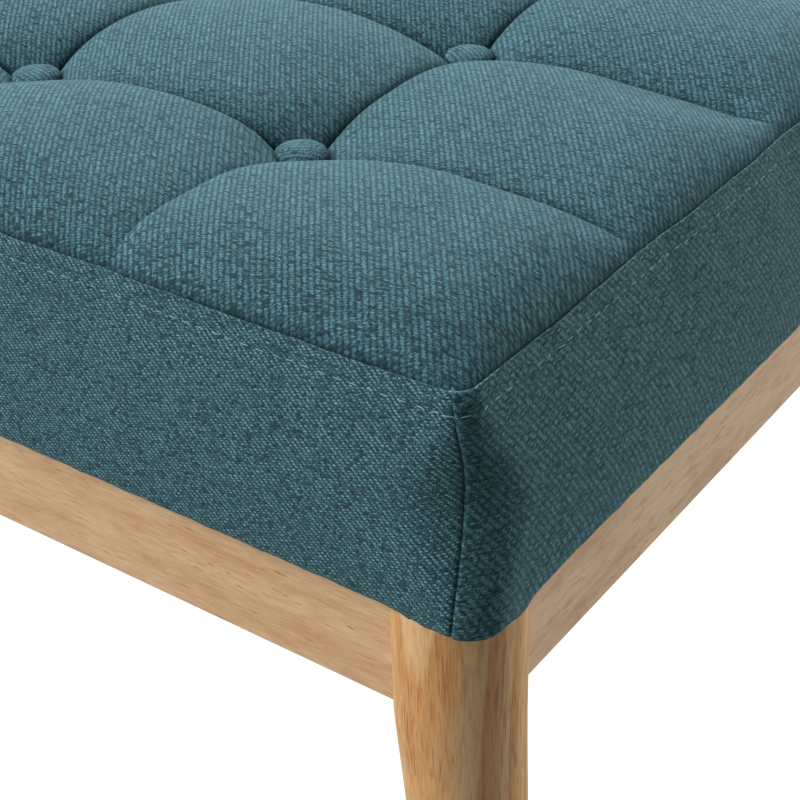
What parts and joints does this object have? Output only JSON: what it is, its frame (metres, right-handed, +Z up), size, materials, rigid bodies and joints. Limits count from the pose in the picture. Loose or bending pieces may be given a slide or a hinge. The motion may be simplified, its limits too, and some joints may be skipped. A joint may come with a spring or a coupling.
{
  "type": "upholstered bench",
  "caption": "Long button-tufted bench: a boxed fabric cushion on a wood frame of rails with round splayed tapered legs.",
  "frame": {"origin": "on the floor, under the middle of the bench", "axes": "+Z up; X along the bench's length, with the shown corner at +X and -Y; the front at -Y"},
  "size_m": [1.2954, 0.478, 0.4343],
  "materials": {
    "rubberwood": "clear satin lacquer over pale grained hardwood",
    "inner_wood": "bare sawn hardwood",
    "plywood": "bare plywood with layered edges",
    "foam": "open-cell foam",
    "wadding": "fluffy polyester wadding",
    "twill": "heathered teal woven twill",
    "dust_cloth": "matt black spunbonded cloth",
    "nylon": "moulded nylon",
    "zinc_steel": "zinc-plated steel"
  },
  "bodies": {
    "root": {"leg_front_right": "rubberwood", "leg_back_right": "rubberwood", "leg_back_left": "rubberwood", "leg_front_left": "rubberwood", "rail_front": "rubberwood", "rail_right": "rubberwood", "rail_back": "rubberwood", "rail_left": "rubberwood", "corner_block_front_right": "inner_wood", "corner_block_back_right": "inner_wood", "corner_block_back_left": "inner_wood", "corner_block_front_left": "inner_wood", "centre_stretcher": "inner_wood", "seat_board": "plywood", "foam_core": "foam", "wadding": "wadding", "cover_top": "twill", "cover_front": "twill", "cover_right": "twill", "cover_back": "twill", "cover_left": "twill", "dust_cover": "dust_cloth", "glide_front_right": "nylon", "glide_back_right": "nylon", "glide_back_left": "nylon", "glide_front_left": "nylon", "leg_bolt_front_right": "zinc_steel", "leg_bolt_back_right": "zinc_steel", "leg_bolt_back_left": "zinc_steel", "leg_bolt_front_left": "zinc_steel", "seat_screw_front_right": "zinc_steel", "seat_screw_back_right": "zinc_steel", "seat_screw_back_left": "zinc_steel", "seat_screw_front_left": "zinc_steel", "button_1_1": "twill", "button_1_2": "twill", "button_1_3": "twill", "button_2_1": "twill", "button_2_2": "twill", "button_2_3": "twill", "button_3_1": "twill", "button_3_2": "twill", "button_3_3": "twill", "button_4_1": "twill", "button_4_2": "twill", "button_4_3": "twill", "button_5_1": "twill", "button_5_2": "twill", "button_5_3": "twill", "button_6_1": "twill", "button_6_2": "twill", "button_6_3": "twill", "button_7_1": "twill", "button_7_2": "twill", "button_7_3": "twill", "button_8_1": "twill", "button_8_2": "twill", "button_8_3": "twill"}
  },
  "joints": []
}
